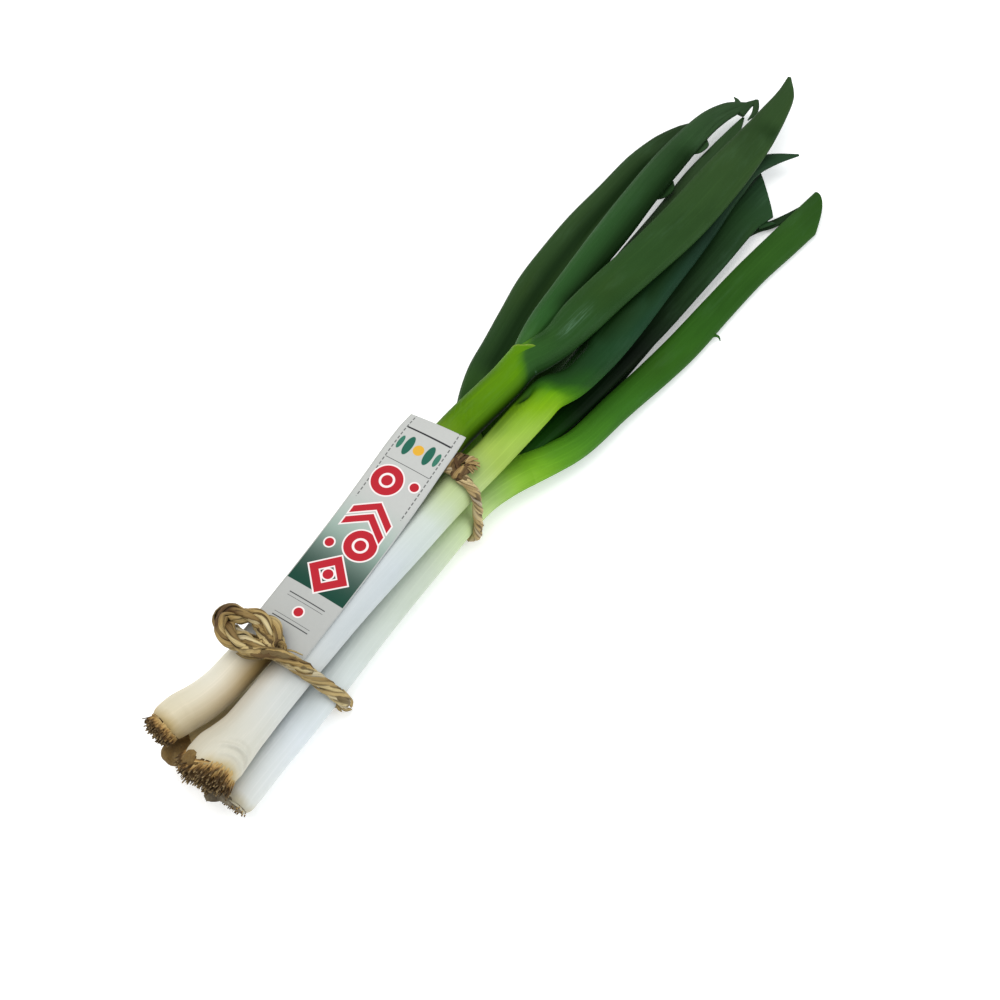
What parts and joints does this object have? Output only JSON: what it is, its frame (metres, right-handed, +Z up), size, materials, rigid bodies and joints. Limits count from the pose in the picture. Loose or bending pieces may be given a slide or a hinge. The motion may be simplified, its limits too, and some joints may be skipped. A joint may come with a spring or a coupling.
{
  "type": "spring onion bunch",
  "caption": "Bunch of long spring onions lying flat: white stems with clipped roots, splayed green leaves, straw ties with a carrying loop, and a paper label strip",
  "frame": {"origin": "on the table under the middle of the bunch's box", "axes": "X along the stems from the roots to the leaf tips, Y across the bunch with the label's side to +Y, Z up from the table"},
  "size_m": [0.6536, 0.1444, 0.0646],
  "materials": {
    "stem": "satin",
    "leaf": "waxy",
    "bright_leaf": "waxy",
    "roots": "matt",
    "straw": "matt",
    "paper": "matt"
  },
  "bodies": {
    "root": {"onion_a_stem": "stem", "onion_b_stem": "stem", "onion_c_stem": "stem", "onion_d_stem": "stem", "onion_a_leaf_1": "leaf", "onion_a_leaf_2": "leaf", "onion_b_leaf_1": "leaf", "onion_d_leaf_2": "leaf", "onion_c_leaf_1": "bright_leaf", "onion_c_leaf_2": "leaf", "onion_c_leaf_3": "leaf", "onion_d_leaf_1": "leaf", "onion_a_roots": "roots", "onion_b_roots": "roots", "onion_c_roots": "roots", "onion_d_roots": "roots", "lower_tie": "straw", "upper_tie": "straw", "label": "paper"}
  },
  "joints": []
}
